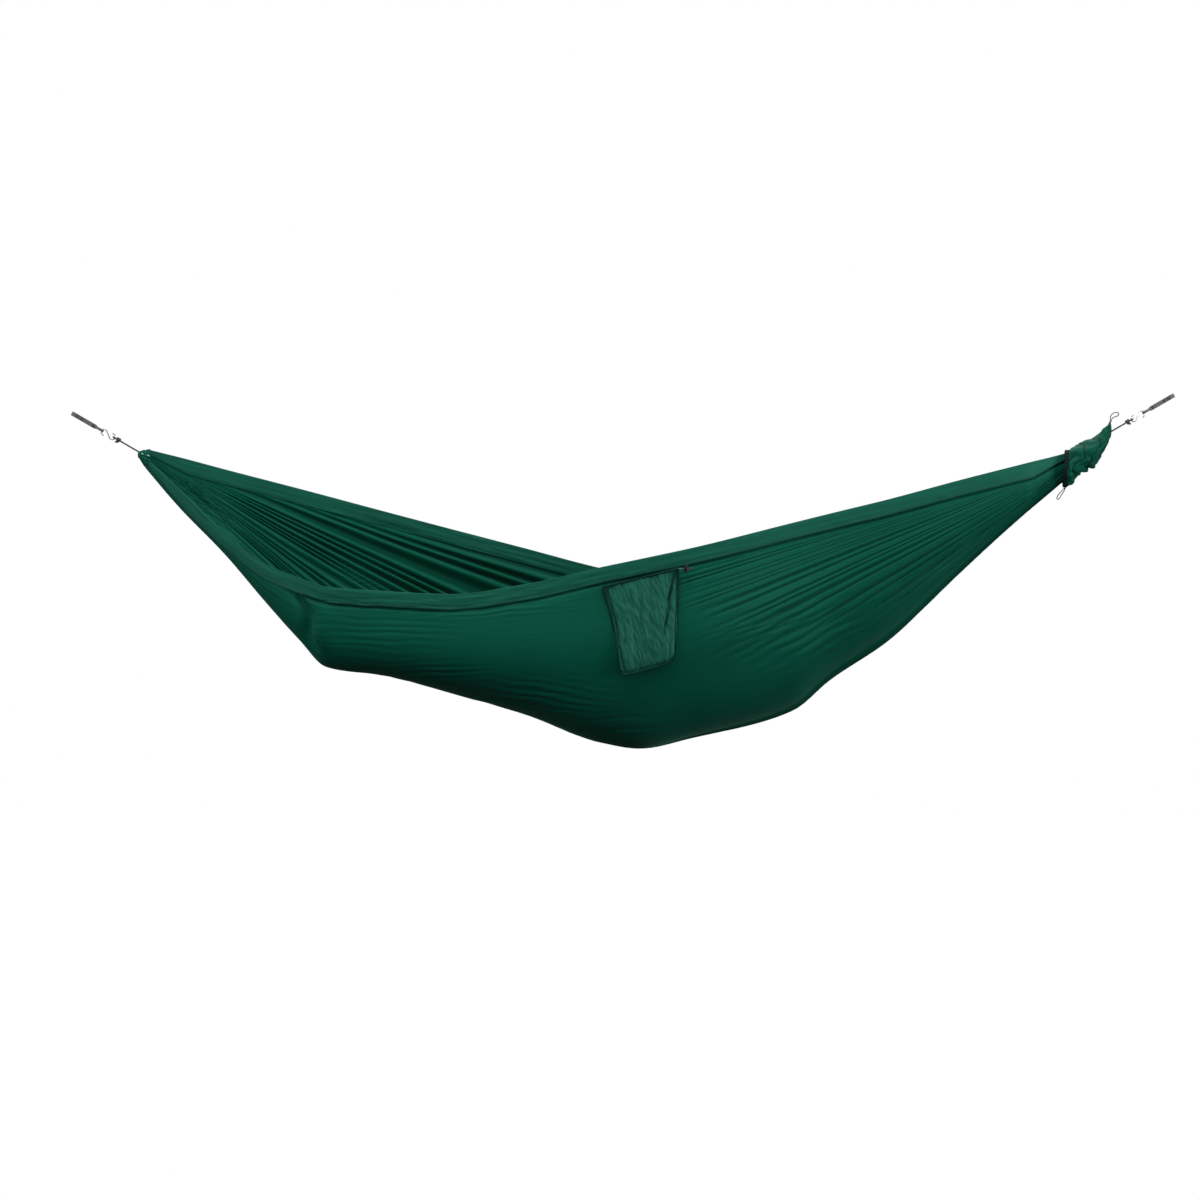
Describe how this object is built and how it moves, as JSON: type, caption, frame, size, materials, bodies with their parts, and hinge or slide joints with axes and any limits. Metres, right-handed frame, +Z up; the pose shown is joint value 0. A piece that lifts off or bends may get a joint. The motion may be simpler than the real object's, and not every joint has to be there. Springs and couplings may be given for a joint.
{
  "type": "camping hammock",
  "caption": "Gathered-end fabric hammock, hung and loaded, with sewn edge bands, a hinged stuff pocket, cord lock, sliding end sleeve, S-hooks and webbing strap ends.",
  "frame": {"origin": "centre of the left strap's anchor eye", "axes": "+X towards the right anchor, +Z up, +Y away from the side that carries the pocket"},
  "size_m": [3.0492, 0.775, 0.9822],
  "materials": {
    "green_nylon": "thin ripstop-free parachute nylon, soft sheen, fine wrinkles",
    "band_nylon": "doubled parachute nylon, lighter where it faces the light",
    "webbing": "dark grey woven polyester webbing",
    "bar_tack_thread": "dense black zigzag stitching",
    "suspension_cord": "dark grey braided cord",
    "hook_steel": "bright plain steel wire",
    "drawcord": "dark braided drawcord",
    "black_plastic": "satin black moulded plastic",
    "spring_steel": "bright spring wire",
    "elastic_cuff": "black-green elastic binding",
    "loop_cord": "thin dark elastic cord"
  },
  "bodies": {
    "anchor_straps": {"strap_left": "webbing", "strap_left_bar_tacks": "bar_tack_thread", "strap_right": "webbing", "strap_right_bar_tacks": "bar_tack_thread"},
    "hammock": {"cord_eye_left": "suspension_cord", "knot_left": "suspension_cord", "suspension_cord_left": "suspension_cord", "end_channel_left": "green_nylon", "cord_eye_right": "suspension_cord", "knot_right": "suspension_cord", "suspension_cord_right": "suspension_cord", "end_channel_right": "green_nylon", "near_edge_band": "band_nylon", "body_panel": "green_nylon", "far_edge_band": "band_nylon"},
    "hook_left": {"s_hook_left": "hook_steel"},
    "hook_right": {"s_hook_right": "hook_steel"},
    "pocket": {"pocket_back_panel": "green_nylon", "pocket_front_panel": "green_nylon", "pocket_hem": "green_nylon", "pocket_drawcord": "drawcord", "drawcord_knot": "drawcord"},
    "cord_lock": {"cord_lock_barrel": "black_plastic", "cord_lock_spring": "spring_steel"},
    "lock_button": {"cord_lock_button": "black_plastic"},
    "sleeve": {"sleeve_tube": "green_nylon", "sleeve_cuff": "elastic_cuff", "sleeve_neck_loop": "loop_cord", "cuff_tail_loop": "loop_cord"}
  },
  "joints": [
    {"name": "swing", "type": "hinge", "parent": "anchor_straps", "child": "hammock", "pos_m": [0.07361, 0, -0.0425], "axis": [0.9998, 0, 0.0174], "range_deg": [-25, 25]},
    {"name": "hook_left_twist", "type": "hinge", "parent": "hammock", "child": "hook_left", "pos_m": [0.0918, 0, -0.053], "axis": [0.866, 0, -0.5], "range_deg": [-8, 8]},
    {"name": "hook_right_twist", "type": "hinge", "parent": "hammock", "child": "hook_right", "pos_m": [2.9332, 0, -0.003], "axis": [-0.866, 0, -0.5], "range_deg": [-8, 8]},
    {"name": "pocket_lift", "type": "hinge", "parent": "hammock", "child": "pocket", "pos_m": [1.458, -0.3415, -0.471], "axis": [-0.9718, 0, -0.2359], "range_deg": [0, 85]},
    {"name": "cord_lock_slide", "type": "slide", "parent": "pocket", "child": "cord_lock", "axis": [1, 0, 0], "range_m": [-0.0035, 0.002]},
    {"name": "cord_lock_press", "type": "slide", "parent": "cord_lock", "child": "lock_button", "axis": [0, 0, -1], "range_m": [0, 0.004], "stiffness_N_per_m": 300, "springref_m": -0.003, "deforming": ["cord_lock_spring"]},
    {"name": "sleeve_slide", "type": "slide", "parent": "hammock", "child": "sleeve", "axis": [0.866, 0, 0.5], "range_m": [0, 0.04]}
  ]
}
